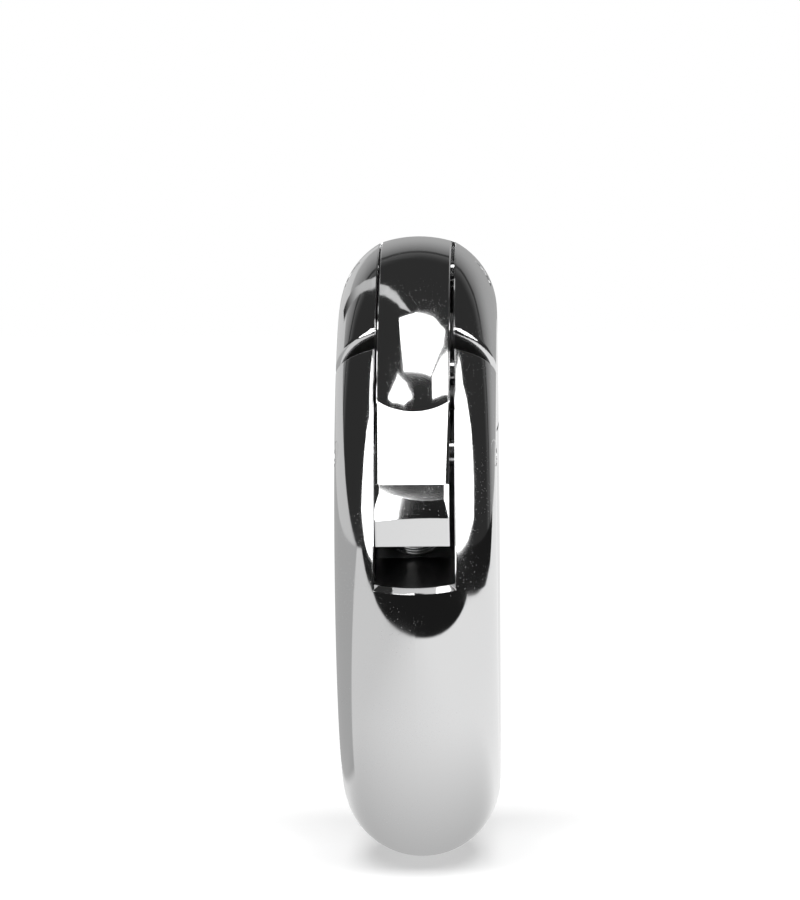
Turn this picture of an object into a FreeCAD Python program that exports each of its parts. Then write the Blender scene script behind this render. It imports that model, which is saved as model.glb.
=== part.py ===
"""Opening ring for an anchor chain: a round-bar ring whose upper arm swings open on a thumb lever.

Frame: the origin is the centre of the ring, +X runs along the ring's axis, -Y is the lever side and +Z is up.
Lengths are in millimetres. The side view uses two coordinates: "ahead", which is -Y, and "up", which is Z.
"""

import FreeCAD, Part
import os
from math import acos, atan2, cos, degrees, hypot, radians, sin

Vec = FreeCAD.Vector

# ---- driving dimensions -------------------------------------------------------------------------
RING_R = 56.25            # ring axis to the middle of the round bar
BAR_R = 18.75             # radius of the round bar
WIDE = 60.0               # cutting tools are this wide, more than any part
FAR = 130.0               # and reach this far, beyond any part
PAST = 40.0               # a cut's overrun into open space
HOLLOW_R = 15.0           # well inside the ring's opening
TOUCH = 0.02              # how near an edge must lie to count as on a surface

SEAM_ANGLE = 47.5         # where the front seam crosses the middle of the bar, above the horizontal
ARM_FACE_SLOPE = 38.0     # slope of the arm's front face
BODY_FACE_SLOPE = 22.0    # slope of the body's face outside the middle of the bar
SEAM_GAP = 0.25           # clearance where the arm rests by the body
REAR_SEAM_ANGLE = 150.0   # where the free end of the arm meets the body

PIVOT = (54.9, 23.8)      # hinge pin centre (ahead, up)
ARM_PIN_LOW = (28.2, 41.9)
ARM_PIN_HIGH_AT = (66.0, 80.0)    # radius and angle of the upper arm pin
PIN_R = 3.0
PIN_FIT = 0.01            # radial room of a pin held in its hole
BUSH_R = 4.5
RUNNING_FIT = 0.04        # radial room between the hinge pin and its bush
FLUSH = 0.08              # pins end this far under the bar's surface

LEVER_W = 16.8
LEVER_CREST_R = 74.2      # ring axis to the top of the lever's flatter crown
LEVER_CROWN_R = 28.0
LEVER_SHIFT = -0.25       # the lever sits a little to one side of its slot
ARM_SLOT_W = 17.9
BODY_SLOT_W = 18.4
PIVOT_BOSS_R = 7.6
PIN_BOSS_R = 7.0
PIN_BOSS_ARC = 45.0       # how far the lever's outline follows its lower pin's boss
BOSS_ROOM = 0.8           # room round the lever's bosses in the body
LEVER_TOP_ANGLE = 90.0    # the lever ends at the top of the ring
LEVER_TOP_INNER_R = 56.0  # inner radius of the lever at its top end
LEVER_MID = (49.6, 77.8)  # radius and angle of a point on the lever's inner edge
DRESSING_SHIFT = 1.6      # how far the dressed flat's centre lies behind the ring's
DRESSING_ANGLE = 30.0     # the flat dies away before this far past the lever's end
ARM_SLOT_ROOM = 0.3

TAB_ROOT = (67.7, 32.3)   # where the flat thumb face leaves the round outline
TAB_RIDGE = (84.1, 17.8)
TAB_NOSE = (85.15, 14.2)
TAB_LIP = (85.3, 10.5)
TAB_TOE = (79.8, 3.7)
TAB_HEEL = (70.4, 3.2)
TAB_DEPTH = 14.0          # the thumb face's outline starts this far inside the bar
HEEL_H = 12.0             # the heel goes this far above the spring's axis
BEVEL_START = 5.0         # the tab's bevels start this far above its root

FLOOR_FOOT = (55.0, -0.2)   # lower inner corner of the slot
FLOOR_SLOPE = 115.4         # the slot's floor leans back from here, to clear the lever's boss
SPRING_SLOPE = FLOOR_SLOPE - 90.0
LEDGE_SLOPE = 17.5          # the slot's lower end falls this steeply towards the outside
SPRING_UP_FLOOR = 7.3       # from the slot's inner corner to the spring's axis, along the floor
SPRING_R = 5.65             # mean coil radius
WIRE_R = 0.75
SPRING_COILS = 6.0
SPRING_POCKET = 5.0
POCKET_ROOM = 0.4
SPIGOT_R = 4.2
SPIGOT_H = 2.4
SPRING_ROOM = 0.05        # between the coil and each of its seats

TONGUE_W = 15.0
TONGUE_T = 11.0
TONGUE_L = 9.0
TONGUE_ROOM = 0.5

NOSE_CROWN_R = 120.0      # the nose is slightly round from side to side
NOSE_CROWN_SHIFT = 4.0    # and its highest line lies towards one side
NOSE_EDGE = 1.1           # bevels beside the thumb tab's nose
TAB_EDGE = 0.8            # bevels beside its flat face, at the nose's end
BEVEL_OVERRUN = 0.3
SEAM_EDGE = 1.5           # rounding of the arm's front edge
LEDGE_EDGE = 1.1          # bevel along the slot's lower end
SLOT_EDGE = 0.35          # bevels along the slots and the lever
FINE_EDGE = 0.3           # bevels where the body meets the arm


# ---- side-view geometry -------------------------------------------------------------------------
def on_ring(radius, angle):
    """Side-view point at a radius from the ring's axis and an angle above the front horizontal."""
    return (radius * cos(radians(angle)), radius * sin(radians(angle)))


def step(point, slope, length):
    """The point reached from a side-view point along a slope, in degrees above 'ahead'."""
    return (point[0] + length * cos(radians(slope)), point[1] + length * sin(radians(slope)))


def space(point, x=0.0):
    """A side-view point placed in space."""
    return Vec(x, -point[0], point[1])


def inner_tangent_line(c1, r1, c2, r2):
    """Where a line touches two circles on their side facing the ring's centre."""
    apart = hypot(c2[0] - c1[0], c2[1] - c1[1])
    side = slope_of(c1, c2) + degrees(acos((r1 - r2) / apart))
    return step(c1, side, r1), step(c2, side, r2)


def prism(edges, width, shift=0.0):
    """A closed side-view outline, drawn at x = 0, thickened by width about x = shift."""
    face = Part.Face(Part.Wire(edges))
    face.translate(Vec(shift - width / 2, 0, 0))
    return face.extrude(Vec(width, 0, 0))


def line(a, b):
    return Part.makeLine(space(a), space(b))


def arc(a, through, b):
    return Part.Arc(space(a), space(through), space(b)).toShape()


def outline(points):
    """Straight edges round a list of side-view points."""
    return [line(a, b) for a, b in zip(points, points[1:] + points[:1])]


def cross_pin(centre, radius, length=WIDE):
    """A cylinder across the ring through a side-view point."""
    return Part.makeCylinder(radius, length, space(centre, -length / 2), Vec(1, 0, 0))


def bar_ring(shrink=0.0):
    """The full ring of round bar, or one with a thinner bar."""
    return Part.makeTorus(RING_R, BAR_R - shrink, Vec(0, 0, 0), Vec(1, 0, 0))


def meeting(a, slope_a, b, slope_b):
    """Where two side-view lines cross, each given by a point and a slope."""
    ahead = b[0] - a[0]
    up = b[1] - a[1]
    turn = sin(radians(slope_b - slope_a))
    return step(a, slope_a, (ahead * sin(radians(slope_b)) - up * cos(radians(slope_b))) / turn)


def slope_of(a, b):
    return degrees(atan2(b[1] - a[1], b[0] - a[0]))


def edges_where(shape, *tests):
    """The shape's edges that pass all the tests at seven points along their length."""
    def passes(edge):
        first, last = edge.ParameterRange
        points = [edge.valueAt(first + (last - first) * i / 6) for i in range(7)]
        return all(test(point) for test in tests for point in points)
    return [edge for edge in shape.Edges if passes(edge)]


def on_torus(ring_r, bar_r):
    return lambda p: abs(hypot(hypot(p.y, p.z) - ring_r, p.x) - bar_r) < TOUCH


def on_line(point, slope):
    """Test for lying on a side-view line."""
    along, up = cos(radians(slope)), sin(radians(slope))
    return lambda p: abs((-p.y - point[0]) * up - (p.z - point[1]) * along) < TOUCH


def on_sides(width, shift=0.0):
    return lambda p: abs(abs(p.x - shift) - width / 2) < TOUCH


def bevel(shape, size, *tests):
    """Bevels the edges that pass the tests."""
    return shape.makeChamfer(size, edges_where(shape, *tests)).Solids[0]


ON_BAR = on_torus(RING_R, BAR_R)
SEAM = on_ring(RING_R, SEAM_ANGLE)
ARM_PIN_HIGH = on_ring(*ARM_PIN_HIGH_AT)
SPRING_AXIS = space(step((0, 0), SPRING_SLOPE, 1))


# ---- the regions that share out the ring --------------------------------------------------------
def arm_region():
    """Everything above the arm's front face and ahead of the rear seam."""
    lifted = step(SEAM, ARM_FACE_SLOPE + 90, SEAM_GAP)
    rear_shift = step((0, 0), REAR_SEAM_ANGLE - 90, SEAM_GAP)
    rear_inner = tuple(p + s for p, s in zip(on_ring(HOLLOW_R, REAR_SEAM_ANGLE), rear_shift))
    rear_outer = tuple(p + s for p, s in zip(on_ring(FAR, REAR_SEAM_ANGLE), rear_shift))
    points = [
        step(lifted, ARM_FACE_SLOPE, FAR),
        step(lifted, ARM_FACE_SLOPE, -PAST),
        rear_inner,
        rear_outer,
        (-FAR, FAR),
        (FAR / 2, FAR + PAST),
    ]
    return prism(outline(points), WIDE)


def above_body_region():
    """Everything that the body leaves to the arm, with the open wedge outside the seam."""
    points = [
        step(SEAM, BODY_FACE_SLOPE, FAR),
        SEAM,
        step(SEAM, ARM_FACE_SLOPE, -PAST),
        on_ring(HOLLOW_R, REAR_SEAM_ANGLE),
        on_ring(FAR, REAR_SEAM_ANGLE),
        (-FAR, FAR),
        (FAR, FAR),
    ]
    return prism(outline(points), WIDE)


# ---- the body -----------------------------------------------------------------------------------
def fork_slot():
    """The slot in the body that holds the lever's lower half."""
    low, high = inner_tangent_line(PIVOT, PIVOT_BOSS_R + BOSS_ROOM, ARM_PIN_LOW, PIN_BOSS_R + BOSS_ROOM)
    wall_slope = slope_of(low, high)
    corner = meeting(FLOOR_FOOT, FLOOR_SLOPE, low, wall_slope)
    past_seam = step(high, wall_slope, PAST / 2)
    ledge_end = step(FLOOR_FOOT, -LEDGE_SLOPE, PAST)
    points = [ledge_end, FLOOR_FOOT, corner, past_seam, (past_seam[0], FAR), (FAR, FAR), (FAR, ledge_end[1])]
    return prism(outline(points), BODY_SLOT_W)


def spring_mouth():
    """Where the spring's axis crosses the slot floor."""
    return step(FLOOR_FOOT, FLOOR_SLOPE, SPRING_UP_FLOOR)


def spring_seat():
    """Where the spring's axis meets the lever's heel, which lies square to it."""
    return meeting(spring_mouth(), SPRING_SLOPE, TAB_HEEL, FLOOR_SLOPE)


def spring_pocket():
    bottom = space(step(spring_mouth(), SPRING_SLOPE, -SPRING_POCKET))
    return Part.makeCylinder(SPRING_R + WIRE_R + POCKET_ROOM, SPRING_POCKET + PAST / 2, bottom, SPRING_AXIS)


def tongue(room):
    """The tongue on the arm's free end, curved about the hinge so that it slides out of its socket."""
    root = on_ring(RING_R, REAR_SEAM_ANGLE)
    reach = hypot(root[0] - PIVOT[0], root[1] - PIVOT[1])
    near, far = reach - TONGUE_T / 2 - room, reach + TONGUE_T / 2 + room
    root_angle = degrees(atan2(root[1] - PIVOT[1], root[0] - PIVOT[0]))
    drop = degrees((TONGUE_L + room) / reach)
    rise = degrees(TONGUE_T / reach)
    low, mid, high = root_angle + drop, root_angle + (drop - rise) / 2, root_angle - rise
    edges = [
        arc(step(PIVOT, high, near), step(PIVOT, mid, near), step(PIVOT, low, near)),
        line(step(PIVOT, low, near), step(PIVOT, low, far)),
        arc(step(PIVOT, low, far), step(PIVOT, mid, far), step(PIVOT, high, far)),
        line(step(PIVOT, high, far), step(PIVOT, high, near)),
    ]
    return prism(edges, TONGUE_W + 2 * room)


def ring_body():
    body = bar_ring().cut(above_body_region())
    for tool in (fork_slot(), spring_pocket(), cross_pin(PIVOT, PIN_R + PIN_FIT), tongue(TONGUE_ROOM)):
        body = body.cut(tool)
    body = bevel(body.Solids[0], LEDGE_EDGE, ON_BAR, on_line(FLOOR_FOOT, -LEDGE_SLOPE))
    body = bevel(body, SLOT_EDGE, ON_BAR, on_sides(BODY_SLOT_W))
    body = bevel(body, FINE_EDGE, ON_BAR, on_line(SEAM, BODY_FACE_SLOPE), lambda p: -p.y > SEAM[0] - TOUCH)
    body = bevel(body, FINE_EDGE, ON_BAR, on_line(SEAM, ARM_FACE_SLOPE), lambda p: -p.y < SEAM[0] + TOUCH)
    return bevel(body, FINE_EDGE, ON_BAR, on_line((0, 0), REAR_SEAM_ANGLE))


# ---- the arm, the lever and the small parts -----------------------------------------------------
def lever_profile(room):
    """Outline of the lever from its pivot to its top end, without the thumb tab, with room on the inside."""
    pin_r = PIN_BOSS_R + room
    mid_r, mid_angle = LEVER_MID
    top_angle = LEVER_TOP_ANGLE + degrees(room / LEVER_TOP_INNER_R)
    on_pivot, on_pin = inner_tangent_line(PIVOT, PIVOT_BOSS_R + room, ARM_PIN_LOW, pin_r)
    leave_angle = slope_of(ARM_PIN_LOW, on_pin) - PIN_BOSS_ARC
    leave = step(ARM_PIN_LOW, leave_angle, pin_r)
    top = on_ring(LEVER_TOP_INNER_R - room, top_angle)
    return [
        line(on_pivot, on_pin),
        arc(on_pin, step(ARM_PIN_LOW, leave_angle + PIN_BOSS_ARC / 2, pin_r), leave),
        arc(leave, on_ring(mid_r - room, mid_angle), top),
        *outline([top, on_ring(FAR, top_angle), (FAR, FAR), (FAR, PIVOT[1]), PIVOT, on_pivot])[:-1],
    ]


def dressed_flat():
    """What is dressed off the arm behind the lever's end, so that it carries on the lever's flatter crown."""
    crown_r = LEVER_CREST_R - LEVER_CROWN_R
    crown = Part.makeTorus(crown_r, LEVER_CROWN_R, space((-DRESSING_SHIFT, 0)), Vec(1, 0, 0))
    end_angle = LEVER_TOP_ANGLE + DRESSING_ANGLE
    corners = [
        on_ring(RING_R, LEVER_TOP_ANGLE),
        on_ring(FAR, LEVER_TOP_ANGLE),
        on_ring(FAR, end_angle),
        on_ring(RING_R, end_angle),
    ]
    return prism(outline(corners), WIDE).cut(crown)


def gate_arm():
    arm = bar_ring().common(arm_region())
    arm = arm.fuse(tongue(0.0).common(bar_ring().cut(arm_region())))
    arm = arm.cut(prism(lever_profile(ARM_SLOT_ROOM), ARM_SLOT_W))
    for centre in (ARM_PIN_LOW, ARM_PIN_HIGH):
        arm = arm.cut(cross_pin(centre, PIN_R + PIN_FIT))
    arm = arm.removeSplitter().Solids[0]
    front_rim = edges_where(arm, ON_BAR, on_line(step(SEAM, ARM_FACE_SLOPE + 90, SEAM_GAP), ARM_FACE_SLOPE))
    arm = arm.makeFillet(SEAM_EDGE, front_rim).Solids[0]
    arm = bevel(arm, SLOT_EDGE, ON_BAR, on_sides(ARM_SLOT_W))
    rear_face = step((0, 0), REAR_SEAM_ANGLE - 90, SEAM_GAP)
    arm = bevel(arm, FINE_EDGE, ON_BAR, on_line(rear_face, REAR_SEAM_ANGLE))
    return arm.cut(dressed_flat()).Solids[0]


def thumb_tab():
    """The tail below the pivot, with its flat thumb face, rounded nose and undercut toe."""
    inside = step(TAB_ROOT, slope_of(TAB_RIDGE, TAB_ROOT), TAB_DEPTH)
    heel_up = step(spring_seat(), FLOOR_SLOPE, HEEL_H)
    edges = [
        arc(TAB_RIDGE, TAB_NOSE, TAB_LIP),
        *outline([TAB_LIP, TAB_TOE, TAB_HEEL, heel_up, PIVOT, inside, TAB_RIDGE])[:-1],
    ]
    crown_foot = space((TAB_NOSE[0] - NOSE_CROWN_R, -FAR), LEVER_SHIFT + NOSE_CROWN_SHIFT)
    crown = Part.makeCylinder(NOSE_CROWN_R, 2 * FAR, crown_foot)
    return prism(edges, LEVER_W, LEVER_SHIFT).common(crown)


def tab_bevels():
    """Wedges that bevel both sides of the thumb tab, each from one outline corner to the next."""
    runs = [
        (step(TAB_ROOT, slope_of(TAB_RIDGE, TAB_ROOT), BEVEL_START), TAB_RIDGE, FINE_EDGE, TAB_EDGE),
        (TAB_RIDGE, TAB_NOSE, NOSE_EDGE, NOSE_EDGE),
        (TAB_NOSE, TAB_LIP, NOSE_EDGE, SLOT_EDGE),
        (TAB_LIP, TAB_TOE, SLOT_EDGE, SLOT_EDGE),
    ]
    wedges = []
    for side in (-1, 1):
        for start, end, start_size, end_size in runs:
            slope = slope_of(start, end)
            first = bevel_section(step(start, slope, -BEVEL_OVERRUN), slope + 90, start_size, side)
            last = bevel_section(step(end, slope, BEVEL_OVERRUN), slope + 90, end_size, side)
            wedges.append(Part.makeLoft([first, last], True, True))
    return wedges


def bevel_section(at, outward, size, side):
    """The outline of a bevel's cut across one long edge of the lever; its first side is the bevel."""
    edge = LEVER_SHIFT + side * LEVER_W / 2
    corners = [
        space(step(at, outward, -size), edge),
        space(at, edge - side * size),
        space(step(at, outward, size), edge - side * size),
        space(step(at, outward, size), edge + side * size),
        space(step(at, outward, -size), edge + side * size),
    ]
    return Part.makePolygon(corners + corners[:1])


def thumb_lever():
    crown = Part.makeTorus(LEVER_CREST_R - LEVER_CROWN_R, LEVER_CROWN_R, Vec(0, 0, 0), Vec(1, 0, 0))
    bar = prism(lever_profile(0.0), LEVER_W, LEVER_SHIFT).common(crown)
    boss = Part.makeCylinder(PIVOT_BOSS_R, LEVER_W, space(PIVOT, LEVER_SHIFT - LEVER_W / 2), Vec(1, 0, 0))
    spigot_end = step(spring_seat(), SPRING_SLOPE, -SPIGOT_H)
    spigot = Part.makeCylinder(SPIGOT_R, 2 * SPIGOT_H, space(spigot_end), SPRING_AXIS)
    lever = bar.fuse([boss, thumb_tab(), spigot]).removeSplitter().Solids[0]
    on_crown = on_torus(LEVER_CREST_R - LEVER_CROWN_R, LEVER_CROWN_R)
    lever = bevel(lever, SLOT_EDGE, on_crown, on_sides(LEVER_W, LEVER_SHIFT))
    for wedge in tab_bevels():
        lever = lever.cut(wedge)
    lever = lever.cut(cross_pin(PIVOT, BUSH_R + PIN_FIT))
    for centre in (ARM_PIN_LOW, ARM_PIN_HIGH):
        lever = lever.cut(cross_pin(centre, PIN_R + PIN_FIT))
    return lever


def flush_pin(centre):
    """A cross pin whose ends follow the bar's surface."""
    return cross_pin(centre, PIN_R).common(bar_ring(FLUSH))


def hinge_bush():
    outer = Part.makeCylinder(BUSH_R, LEVER_W, space(PIVOT, LEVER_SHIFT - LEVER_W / 2), Vec(1, 0, 0))
    return outer.cut(cross_pin(PIVOT, PIN_R + RUNNING_FIT))


def return_spring():
    """A compression coil between the pocket in the body and the lever's tail."""
    mouth, seat = spring_mouth(), spring_seat()
    bottom = step(mouth, SPRING_SLOPE, -SPRING_POCKET + WIRE_R + SPRING_ROOM)
    length = hypot(seat[0] - mouth[0], seat[1] - mouth[1]) + SPRING_POCKET - 2 * (WIRE_R + SPRING_ROOM)
    helix = Part.makeHelix(length / SPRING_COILS, length, SPRING_R)
    section = Part.Wire([Part.makeCircle(WIRE_R, Vec(SPRING_R, 0, 0), Vec(0, 1, 0))])
    coil = Part.Wire(helix.Edges).makePipeShell([section], True, True)
    coil.Placement = FreeCAD.Placement(space(bottom), FreeCAD.Rotation(Vec(0, 0, 1), SPRING_AXIS))
    return coil


PARTS = {
    "ring_body": ring_body,
    "gate_arm": gate_arm,
    "thumb_lever": thumb_lever,
    "hinge_pin": lambda: flush_pin(PIVOT),
    "arm_pin_lower": lambda: flush_pin(ARM_PIN_LOW),
    "arm_pin_upper": lambda: flush_pin(ARM_PIN_HIGH),
    "hinge_bush": hinge_bush,
    "return_spring": return_spring,
}

os.makedirs("parts", exist_ok=True)
for name, make in PARTS.items():
    make().exportStep("parts/" + name + ".step")
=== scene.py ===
import math
import bpy
import bmesh
from mathutils import Matrix, Vector


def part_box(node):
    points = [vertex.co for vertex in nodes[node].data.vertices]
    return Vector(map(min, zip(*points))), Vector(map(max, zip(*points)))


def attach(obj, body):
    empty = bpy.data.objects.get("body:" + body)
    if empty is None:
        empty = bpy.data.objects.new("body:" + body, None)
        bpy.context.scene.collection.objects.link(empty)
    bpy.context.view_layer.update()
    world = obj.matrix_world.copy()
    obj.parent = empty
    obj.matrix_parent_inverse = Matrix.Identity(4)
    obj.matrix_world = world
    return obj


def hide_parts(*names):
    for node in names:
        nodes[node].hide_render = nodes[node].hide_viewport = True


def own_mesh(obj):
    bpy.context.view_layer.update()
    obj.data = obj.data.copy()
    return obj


# Looks of the opening ring: mirror-polished steel in a plain white studio.
# Lengths are in metres. The ring's centre is the origin, its axis is X and its front faces -Y.

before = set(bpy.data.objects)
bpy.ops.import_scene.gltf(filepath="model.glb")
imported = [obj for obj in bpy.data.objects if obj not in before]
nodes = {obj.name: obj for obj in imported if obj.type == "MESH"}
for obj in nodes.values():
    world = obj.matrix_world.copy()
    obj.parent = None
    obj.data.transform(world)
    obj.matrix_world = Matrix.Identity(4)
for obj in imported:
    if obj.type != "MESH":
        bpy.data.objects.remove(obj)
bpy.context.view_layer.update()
RING_LOW, RING_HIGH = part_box("ring_body")
FLOOR_Z = RING_LOW.z
RING_R = -FLOOR_Z            # outer radius of the ring
BAR_R = RING_HIGH.x          # radius of the round bar


# ---- small helpers ------------------------------------------------------------------------------
class Nodes:
    """A material's node tree, with short calls to add and join nodes."""

    def __init__(self, tree):
        self.tree = tree
        tree.nodes.clear()

    def add(self, kind, inputs=None, **settings):
        node = self.tree.nodes.new("ShaderNode" + kind)
        for name, value in settings.items():
            setattr(node, name, value)
        for name, value in (inputs or {}).items():
            self.put(node.inputs[name], value)
        return node

    def put(self, socket, value):
        if isinstance(value, bpy.types.NodeSocket):
            self.tree.links.new(value, socket)
        else:
            socket.default_value = value

    def math(self, operation, a, b=0.0):
        node = self.add("Math", operation=operation)
        self.put(node.inputs[0], a)
        self.put(node.inputs[1], b)
        return node.outputs[0]

    def length(self, a, b):
        """Length of the vector (a, b)."""
        return self.math("SQRT", self.math("ADD", self.math("MULTIPLY", a, a), self.math("MULTIPLY", b, b)))

    def ramp_between(self, value, low, high):
        """0 where value is at low, 1 at high, with soft ends."""
        node = self.add("MapRange", interpolation_type="SMOOTHSTEP")
        for socket, number in zip(node.inputs, (value, low, high, 0.0, 1.0)):
            self.put(socket, number)
        return node.outputs[0]

    def noise(self, coordinates, scale, detail=2.0, roughness=0.5):
        return self.add(
            "TexNoise",
            {"Vector": coordinates, "Scale": scale, "Detail": detail, "Roughness": roughness},
        ).outputs["Fac"]

    def mix_color(self, factor, a, b):
        node = self.add("Mix", data_type="RGBA")
        self.put(node.inputs[0], factor)
        self.put(node.inputs[6], a)
        self.put(node.inputs[7], b)
        return node.outputs[2]

    def darken(self, factor, color):
        return self.mix_color(factor, color, grey(0.0))

    def mix_shader(self, factor, a, b):
        node = self.add("MixShader")
        for socket, value in zip(node.inputs, (factor, a, b)):
            self.put(socket, value)
        return node.outputs[0]

    def metal(self, tone, rough, bump):
        """Ends the tree in a metal of this colour, roughness and bump."""
        shader = self.add(
            "BsdfPrincipled",
            {"Base Color": tone, "Metallic": 1.0, "Roughness": rough, "Normal": bump.outputs[0]},
        )
        self.add("OutputMaterial", {"Surface": shader.outputs[0]})

    def glow(self, color, strength=1.0):
        return self.add("Emission", {"Color": color, "Strength": strength}).outputs[0]


def new_material(name):
    material = bpy.data.materials.new(name)
    material.use_nodes = True
    return material, Nodes(material.node_tree)


def grey(level):
    return (level, level, level, 1.0)


def link(thing):
    bpy.context.scene.collection.objects.link(thing)


# ---- metals -------------------------------------------------------------------------------------
POLISH_DEPTH = (0.0008, 0.0016)          # polished faces turn to machined ones, darkened with painted shade, between these depths
MACHINED_ROUGHNESS = 0.26
# painted shade: how much darker the slots and seams are made
RECESS_PAINTED_SHADE = 0.60
MARKS_SCALE = (900.0, 5200.0, 2600.0)    # polishing marks are longest along X
CLOUD_SCALE = 55.0                       # patches of haze and of wear, about 2 cm wide
HAZE_PATCHES = (0.35, 0.75)
WORN_PATCHES = (0.42, 0.60)
WORN_ROUGHNESS = 0.45
GRAIN_SCALE = 2600.0
GRAIN_HEIGHT = 0.25
PIT_SCALE = 1500.0
PIT_SIZE = (0.05, 0.16)
RELIEF_STRENGTH = 0.05
RELIEF_DEPTH = 0.00002
COOL_TINGE = (0.97, 0.975, 0.985)        # the clouds are this much darker, and a little bluer


def depth_below_polish(n, place):
    """1 on faces that lie under the ring's polished round surface, such as its slots and seams, else 0."""
    split = n.add("SeparateXYZ", {0: place})
    x, y, z = (split.outputs[i] for i in range(3))
    off = n.math("SUBTRACT", n.length(y, z), RING_R - BAR_R)
    start, end = POLISH_DEPTH
    return n.ramp_between(n.length(x, off), BAR_R - start, BAR_R - end)


def polished_steel(name, tint=0.80, roughness=0.035, haze=0.07, scratch=0.18, edge=0.0002, machined_with_painted_shade=False):
    """Mirror steel with a polishing haze, swirl marks and pits. Machined steel is rougher inside its slots,
    and darker there with painted shade.
    """
    material, n = new_material(name)
    place = n.add("TexCoord").outputs["Object"]
    swirl = n.add("VectorMath", {0: place}, operation="MULTIPLY")
    swirl.inputs[1].default_value = MARKS_SCALE
    marks = n.noise(swirl.outputs[0], 1.0, detail=3.0, roughness=0.65)
    cloud = n.noise(place, CLOUD_SCALE, detail=3.0)
    grain = n.noise(place, GRAIN_SCALE, detail=1.0)
    pits = n.add("TexVoronoi", {"Vector": place, "Scale": PIT_SCALE}, feature="F1").outputs["Distance"]
    pit = n.math("SUBTRACT", 1.0, n.ramp_between(pits, *PIT_SIZE))
    worn = n.math("MULTIPLY", pit, n.ramp_between(cloud, *WORN_PATCHES))
    height = n.math("ADD", n.math("MULTIPLY", marks, scratch), n.math("MULTIPLY", grain, GRAIN_HEIGHT))
    height = n.math("SUBTRACT", height, worn)
    rounded = n.add("Bevel", {"Radius": edge}, samples=4).outputs[0]
    relief = {"Strength": RELIEF_STRENGTH, "Distance": RELIEF_DEPTH, "Height": height, "Normal": rounded}
    bump = n.add("Bump", relief)
    rough = n.math("ADD", roughness, n.math("MULTIPLY", n.ramp_between(cloud, *HAZE_PATCHES), haze))
    rough = n.math("ADD", rough, n.math("MULTIPLY", worn, WORN_ROUGHNESS))
    cool = (*(tint * share for share in COOL_TINGE), 1.0)
    tone = n.mix_color(n.math("MULTIPLY", cloud, 0.5), grey(tint), cool)
    if machined_with_painted_shade:
        in_recess = depth_below_polish(n, place)
        rough = n.math("ADD", rough, n.math("MULTIPLY", in_recess, MACHINED_ROUGHNESS))
        # Painted shade: the slots and seams are darkened.
        tone = n.darken(n.math("MULTIPLY", in_recess, RECESS_PAINTED_SHADE), tone)
    n.metal(tone, rough, bump)
    return material


def pin_steel(name):
    return polished_steel(name, tint=0.74, roughness=0.10)


def bronze():
    """Fine-grained bronze, for the bush."""
    material, n = new_material("bronze_bush")
    place = n.add("TexCoord").outputs["Object"]
    cloud = n.noise(place, 240.0, detail=4.0)
    tone = n.mix_color(cloud, (0.50, 0.30, 0.12, 1.0), (0.72, 0.48, 0.22, 1.0))
    bump = n.add("Bump", {"Strength": 0.15, "Distance": 0.00005, "Height": n.noise(place, 3000.0)})
    n.metal(tone, n.math("ADD", 0.25, n.math("MULTIPLY", cloud, 0.2)), bump)
    return material


MATERIALS = {
    "ring_body": polished_steel("polished_body", machined_with_painted_shade=True),
    "gate_arm": polished_steel("polished_arm", roughness=0.05, haze=0.10, scratch=0.3, machined_with_painted_shade=True),
    "thumb_lever": polished_steel("polished_lever", tint=0.84),
    "hinge_pin": pin_steel("hinge_pin_steel"),
    "arm_pin_lower": pin_steel("arm_pin_steel"),
    "arm_pin_upper": pin_steel("arm_pin_upper_steel"),
    "hinge_bush": bronze(),
    "return_spring": polished_steel("spring_wire", tint=0.72, roughness=0.08, scratch=0.4, edge=0.0001),
}
for node, material in MATERIALS.items():
    mesh = nodes[node].data
    mesh.materials.clear()
    mesh.materials.append(material)


# ---- return spring ------------------------------------------------------------------------------
COILS = 6.0                  # turns between the two flat end turns
WIRE_R = 0.00075
WIRE_SIDES = 16
TURN_STEPS = 48
AXIS_GUESS = (0.0, -1.0, 0.3)    # roughly the coil's direction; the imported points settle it
AXIS_ROUNDS = 60


def spring_axis():
    """Bottom point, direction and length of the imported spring's coil, and its outer radius."""
    points = [v.co for v in nodes["return_spring"].data.vertices]
    middle = sum(points, Vector()) / len(points)
    spread = Matrix(((0.0,) * 3,) * 3)
    for p in points:
        d = p - middle
        for row in range(3):
            for col in range(3):
                spread[row][col] += d[row] * d[col]
    along = Vector(AXIS_GUESS).normalized()
    for _ in range(AXIS_ROUNDS):
        along = (spread @ along).normalized()
    heights = [(p - middle).dot(along) for p in points]
    radii = [((p - middle) - along * (p - middle).dot(along)).length for p in points]
    return middle + along * min(heights), along, max(heights) - min(heights), max(radii)


def wire_ring(built, middle, outward, along):
    """One ring of points round the wire, about middle."""
    ring = []
    for k in range(WIRE_SIDES):
        angle = 2.0 * math.pi * k / WIRE_SIDES
        point = middle + outward * (WIRE_R * math.cos(angle)) + along * (WIRE_R * math.sin(angle))
        ring.append(built.verts.new(point))
    return ring


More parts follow.
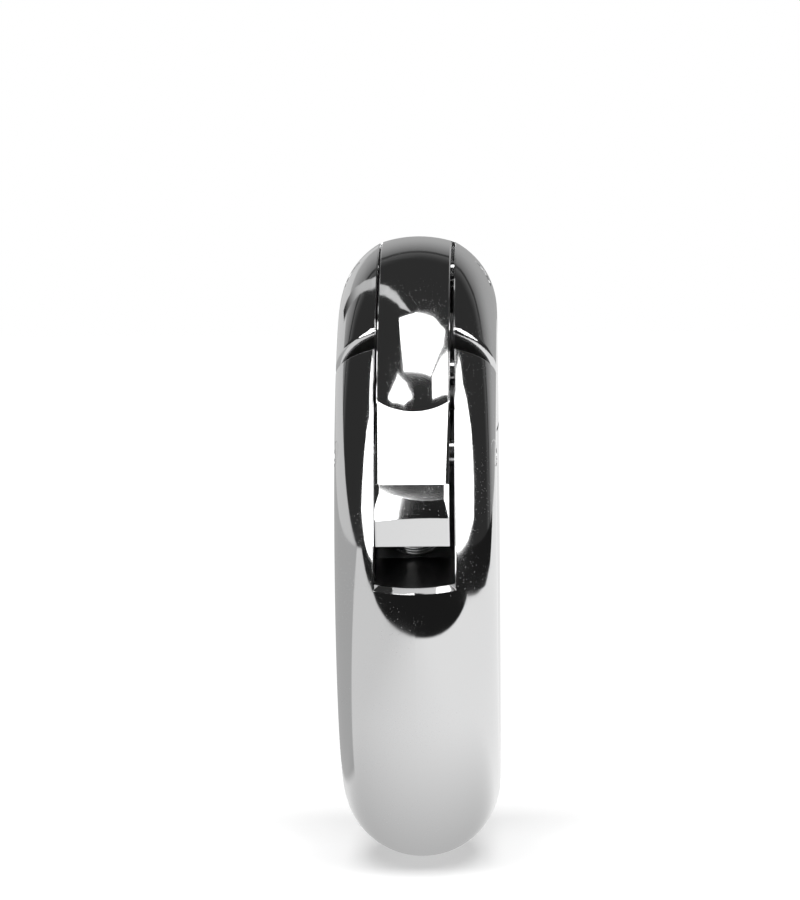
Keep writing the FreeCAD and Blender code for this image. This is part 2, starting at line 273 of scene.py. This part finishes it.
def coil_mesh(foot, along, length, coil_r):
    """Wire wound round the axis, with a flat turn at each end."""
    side = Vector((1.0, 0.0, 0.0))
    up = along.cross(side)
    turns = COILS + 1.0
    steps = int(turns * TURN_STEPS)
    built = bmesh.new()
    rings = []
    for i in range(steps + 1):
        turn = turns * i / steps
        climb = min(max((turn - 0.5) / COILS, 0.0), 1.0)
        angle = 2.0 * math.pi * turn
        outward = side * math.cos(angle) + up * math.sin(angle)
        middle = foot + outward * coil_r + along * (WIRE_R + climb * (length - 2.0 * WIRE_R))
        rings.append(wire_ring(built, middle, outward, along))
    for lower, upper in zip(rings, rings[1:]):
        for k in range(WIRE_SIDES):
            nxt = (k + 1) % WIRE_SIDES
            built.faces.new((lower[k], lower[nxt], upper[nxt], upper[k]))
    built.faces.new(list(reversed(rings[0])))
    built.faces.new(rings[-1])
    bmesh.ops.recalc_face_normals(built, faces=built.faces)
    for face in built.faces:
        face.smooth = len(face.verts) == 4
    mesh = bpy.data.meshes.new("spring_coil")
    built.to_mesh(mesh)
    built.free()
    return mesh


def make_spring():
    """A coil with closed ends, built along the imported spring's axis in its place."""
    foot, along, length, outer_r = spring_axis()
    mesh = coil_mesh(foot, along, length, outer_r - WIRE_R)
    mesh.materials.append(MATERIALS["return_spring"])
    spring = bpy.data.objects.new("spring_coil", mesh)
    link(spring)
    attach(spring, "body")
    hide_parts("return_spring")
    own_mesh(spring)


# ---- floor and room -----------------------------------------------------------------------------
# The camera sees a white floor and background. The metal sees a table under the ring in a dark room.
TABLE_EDGE = 0.170           # the table ends this far in front of the ring's axis
TABLE_SKEW = 0.13            # and its edge slants this much
TABLE_END = 0.42             # it ends this far to the right
TABLE_END_SKEW = 0.74
TABLE_TONE = 0.90
TABLE_SHADE = 0.22           # the table is this much darker on the left
TABLE_SHADE_SPAN = (0.05, -0.09)     # and gets darker from here to here
CONTACT_PAINTED_SHADOW = 0.42          # the table right under the ring, darkened with painted shadow
CONTACT_REACH = (-0.02, 0.085)       # distances between which that painted shadow fades into the table's own tone
BACK_LEFT_TONE = 0.62             # the table is this dark behind the ring, on the left
BACK_LEFT_EDGE = -0.05            # that darker patch reaches from here to the left
SHADOW_REACH = (0.15, 0.45)  # the floor's real shadow fades out between these distances
SHADOW_FILL = 0.40           # share of the floor's white that no shadow takes away
FLOOR_HALF = 12.0
DARK_ROOM = 0.03
DARK_FLOOR = 0.012           # the room's floor, past the table, is darker still
ROOM_GLOW = 0.40             # the back of the room is this light
ROOM_GLOW_SPAN = (0.50, 0.90)
LEAN = 0.28                  # the edge of that light leans back by this share of the height
BEAM_LOW = (0.615, 0.625)    # a thin dark beam runs across that light
BEAM_HIGH = (0.655, 0.645)
BEAM_SHADE = 0.7
WALL_TONE = 0.62             # a low grey wall, on the left
WALL_SLOPE = 0.24            # whose top rises towards the back
WALL_SPAN = (-0.05, -0.15)   # and which comes up between these directions to the left


def floor_for_camera(n, place, away):
    """White, with the ring's soft shadow."""
    grain = n.mix_color(n.noise(place, 30.0), grey(0.93), grey(0.95))
    lit = n.add("BsdfDiffuse", {"Color": grain}).outputs[0]
    white = n.glow(grey(1.0), 1.05)
    shadow_end = n.math("MULTIPLY", n.ramp_between(away, *SHADOW_REACH), 1.0 - SHADOW_FILL)
    return n.mix_shader(n.math("ADD", SHADOW_FILL, shadow_end), lit, white)


def floor_for_metal(n, x, y, away):
    """The table, with painted shadow right under the ring and a darker patch behind it on the left, and past
    its edges the room's dark floor.
    """
    past_front = n.math("ADD", n.math("MULTIPLY", y, -1.0), n.math("MULTIPLY", x, TABLE_SKEW))
    past_end = n.math("SUBTRACT", x, n.math("MULTIPLY", y, TABLE_END_SKEW))
    off_front = n.ramp_between(past_front, TABLE_EDGE - 0.003, TABLE_EDGE + 0.003)
    off_end = n.ramp_between(past_end, TABLE_END - 0.01, TABLE_END + 0.01)
    on_left = n.ramp_between(x, *TABLE_SHADE_SPAN)
    behind = n.ramp_between(y, -0.002, 0.004)
    # The table is darker behind the ring, on the left.
    back_left = n.math("MULTIPLY", behind, n.ramp_between(x, BACK_LEFT_EDGE + 0.005, BACK_LEFT_EDGE - 0.005))
    # Painted shadow: the table is darker right under the ring.
    tone = n.mix_color(n.ramp_between(away, *CONTACT_REACH), grey(CONTACT_PAINTED_SHADOW), grey(TABLE_TONE))
    tone = n.darken(n.math("MULTIPLY", on_left, TABLE_SHADE), tone)
    tone = n.darken(n.math("MULTIPLY", back_left, 1.0 - BACK_LEFT_TONE), tone)
    return n.mix_shader(n.math("MAXIMUM", off_front, off_end), n.glow(tone), n.glow(grey(DARK_FLOOR)))


def floor_material():
    material, n = new_material("studio_floor")
    place = n.add("NewGeometry").outputs["Position"]
    split = n.add("SeparateXYZ", {0: place})
    x, y = split.outputs[0], split.outputs[1]
    away = n.length(x, y)
    camera = n.add("LightPath").outputs["Is Camera Ray"]
    surface = n.mix_shader(camera, floor_for_metal(n, x, y, away), floor_for_camera(n, place, away))
    n.add("OutputMaterial", {"Surface": surface})
    return material


def make_floor():
    mesh = bpy.data.meshes.new("floor")
    built = bmesh.new()
    bmesh.ops.create_grid(built, x_segments=2, y_segments=2, size=FLOOR_HALF)
    built.to_mesh(mesh)
    built.free()
    mesh.materials.append(floor_material())
    floor = bpy.data.objects.new("floor", mesh)
    floor.location = (0.0, 0.0, FLOOR_Z)
    link(floor)


def make_world():
    """White behind the object; for the metal, a dark room that is lighter towards the back."""
    world = bpy.data.worlds.new("studio")
    world.use_nodes = True
    bpy.context.scene.world = world
    n = Nodes(world.node_tree)
    split = n.add("SeparateXYZ", {0: n.add("TexCoord").outputs["Generated"]})
    side, back, high = (split.outputs[i] for i in range(3))
    lean = n.math("SUBTRACT", back, n.math("MULTIPLY", high, LEAN))
    room = n.mix_color(n.ramp_between(lean, *ROOM_GLOW_SPAN), grey(DARK_ROOM), grey(ROOM_GLOW))
    beam = n.math("MULTIPLY", n.ramp_between(lean, *BEAM_LOW), n.ramp_between(lean, *BEAM_HIGH))
    room = n.darken(n.math("MULTIPLY", beam, BEAM_SHADE), room)
    under = n.math("SUBTRACT", n.math("MULTIPLY", back, WALL_SLOPE), high)
    wall = n.math("MULTIPLY", n.ramp_between(under, 0.0, 0.02), n.ramp_between(side, *WALL_SPAN))
    room = n.mix_color(wall, room, grey(WALL_TONE))
    color = n.mix_color(n.add("LightPath").outputs["Is Camera Ray"], room, grey(1.0))
    background = n.add("Background", {"Color": color, "Strength": 1.0})
    n.add("OutputWorld", {"Surface": background.outputs[0]})


# ---- lights -------------------------------------------------------------------------------------
# The metal's light panels lie in four planes: overhead, at the left, at the right and in front.
TOP_Z = 0.75
LEFT_X = -0.50
RIGHT_X = 0.60
FRONT_Y = -0.335
BOX_GLOW = 2.6
STRIP_GLOWS = (0.68, 0.60, 0.55)     # a long dim strip bends from the ceiling down the left wall
STRIP_FADE = (0.20, 0.50)            # heights between which its last part comes up to full glow
FLOOR_LIGHT_SIZE = (1.00, 0.90)
FLOOR_LIGHT_POWER = 23.5
FLOOR_LIGHT_AT = (0.0, -0.45, 0.90)
FLOOR_LIGHT_TILT = math.radians(26.6)


def panel_material(name, brightness, fade):
    """A glowing panel. fade is None, or the heights where its glow is nothing and where it is full."""
    material, n = new_material(name)
    strength = brightness
    if fade:
        height = n.add("SeparateXYZ", {0: n.add("NewGeometry").outputs["Position"]}).outputs[2]
        strength = n.math("MULTIPLY", n.ramp_between(height, *fade), brightness)
    even = n.noise(n.add("TexCoord").outputs["Object"], 3.0)
    glow = n.glow(n.mix_color(even, grey(0.97), grey(1.0)), strength)
    n.add("OutputMaterial", {"Surface": glow})
    return material


def panel(name, corners, brightness=BOX_GLOW, fade=None):
    """A light panel that only the metal sees; corners run round its outline."""
    mesh = bpy.data.meshes.new(name)
    mesh.from_pydata(corners, [], [tuple(range(len(corners)))])
    mesh.materials.append(panel_material(name, brightness, fade))
    light = bpy.data.objects.new(name, mesh)
    light.visible_camera = False
    light.visible_diffuse = False
    light.visible_shadow = False
    link(light)


def overhead(*corners):
    return [(x, y, TOP_Z) for x, y in corners]


def at_left(*corners):
    return [(LEFT_X, y, z) for y, z in corners]


def at_right(*corners):
    return [(RIGHT_X, y, z) for y, z in corners]


def in_front(*corners):
    return [(x, FRONT_Y, z) for x, z in corners]


def make_boxes():
    """The three big soft boxes, which give the broad white shapes on the lever and the cheeks."""
    panel("overhead", overhead(
        (-0.14, 0.03), (0.00, 0.05), (0.14, 0.04), (0.24, -0.01),
        (0.25, -0.12), (0.17, -0.34), (-0.12, -0.32),
    ))
    panel("left_box", at_left(
        (0.06, 0.50), (-0.12, 0.34), (-0.13, 0.08), (-0.19, 0.02),
        (-0.36, -0.07), (-0.42, -0.07), (-0.42, 0.42),
    ))
    panel("right_box", at_right(
        (0.08, 0.60), (0.01, 0.48), (0.02, 0.28), (-0.02, 0.13), (-0.05, 0.06),
        (-0.17, 0.02), (-0.34, -0.01), (-0.40, 0.0), (-0.40, 0.50),
    ))


def make_strip():
    """The long dim strip, which gives the pale arc on the arm's upper left side."""
    start, middle, end = STRIP_GLOWS
    bend_outer, bend_inner = overhead((-0.22, 0.35), (-0.27, 0.30))
    corner_outer, corner_inner = at_left((0.80, 0.67), (0.60, 0.66))
    root_outer, root_inner = overhead((-0.05, 0.05), (-0.13, 0.11))
    down = at_left((0.90, 0.47), (1.13, 0.32), (1.35, 0.22), (1.00, 0.23), (0.76, 0.39), (0.69, 0.50))
    panel("strip_start", [root_outer, bend_outer, bend_inner, root_inner], start)
    panel("strip_middle", [bend_outer, corner_outer, corner_inner, bend_inner], middle)
    panel("strip_end", [corner_outer, *down, corner_inner], end, fade=STRIP_FADE)


def make_flags():
    """The small panels, which light the foot of the lever's crown and the nose of its thumb tab."""
    panel("near_flag", overhead(
        (-0.19, -0.32), (-0.34, -0.45), (-0.30, -0.50), (-0.14, -0.55), (-0.06, -0.50), (-0.10, -0.40),
    ))
    panel("right_flag", overhead(
        (0.29, -0.13), (0.235, -0.23), (0.185, -0.345), (0.22, -0.49), (0.40, -0.40), (0.40, -0.13),
    ))
    panel("front_flag", in_front(
        (-0.006, 0.09), (-0.012, 0.15), (-0.020, 0.25), (-0.15, 0.32), (-0.15, -0.03), (-0.045, -0.01),
        (-0.020, 0.03),
    ))


def make_floor_light():
    """Lights the floor for the camera, from above and a little ahead; the metal doesn't see it."""
    light = bpy.data.lights.new("floor_light", "AREA")
    light.shape = "RECTANGLE"
    light.size, light.size_y = FLOOR_LIGHT_SIZE
    light.energy = FLOOR_LIGHT_POWER
    lamp = bpy.data.objects.new("floor_light", light)
    lamp.location = FLOOR_LIGHT_AT
    lamp.rotation_euler = (FLOOR_LIGHT_TILT, 0.0, 0.0)
    lamp.visible_camera = False
    lamp.visible_glossy = False
    link(lamp)


# ---- camera -------------------------------------------------------------------------------------
CAMERA_DISTANCE = 1.2063
CAMERA_YAW = math.radians(1.2)           # a little from the right
CAMERA_ELEVATION = math.radians(3.0)     # and almost level
CAMERA_ROLL = math.radians(-0.5)
CAMERA_SHIFT = (-0.0233, 0.1049)
LENS = 200.0


def make_camera():
    """The photograph's view, through a long lens."""
    data = bpy.data.cameras.new("camera")
    data.lens = LENS
    data.sensor_width = 36.0
    data.shift_x, data.shift_y = CAMERA_SHIFT
    data.clip_start = 0.05
    data.clip_end = 50.0
    camera = bpy.data.objects.new("camera", data)
    back = Vector((
        math.sin(CAMERA_YAW) * math.cos(CAMERA_ELEVATION),
        -math.cos(CAMERA_YAW) * math.cos(CAMERA_ELEVATION),
        math.sin(CAMERA_ELEVATION),
    ))
    aim = (-back).to_track_quat("-Z", "Y").to_matrix().to_4x4()
    roll = Matrix.Rotation(CAMERA_ROLL, 4, "Z")
    camera.matrix_world = Matrix.Translation(back * CAMERA_DISTANCE) @ aim @ roll
    link(camera)
    bpy.context.scene.camera = camera


make_spring()
make_floor()
make_world()
make_boxes()
make_strip()
make_flags()
make_floor_light()
make_camera()
bpy.context.scene.view_settings.view_transform = "Standard"
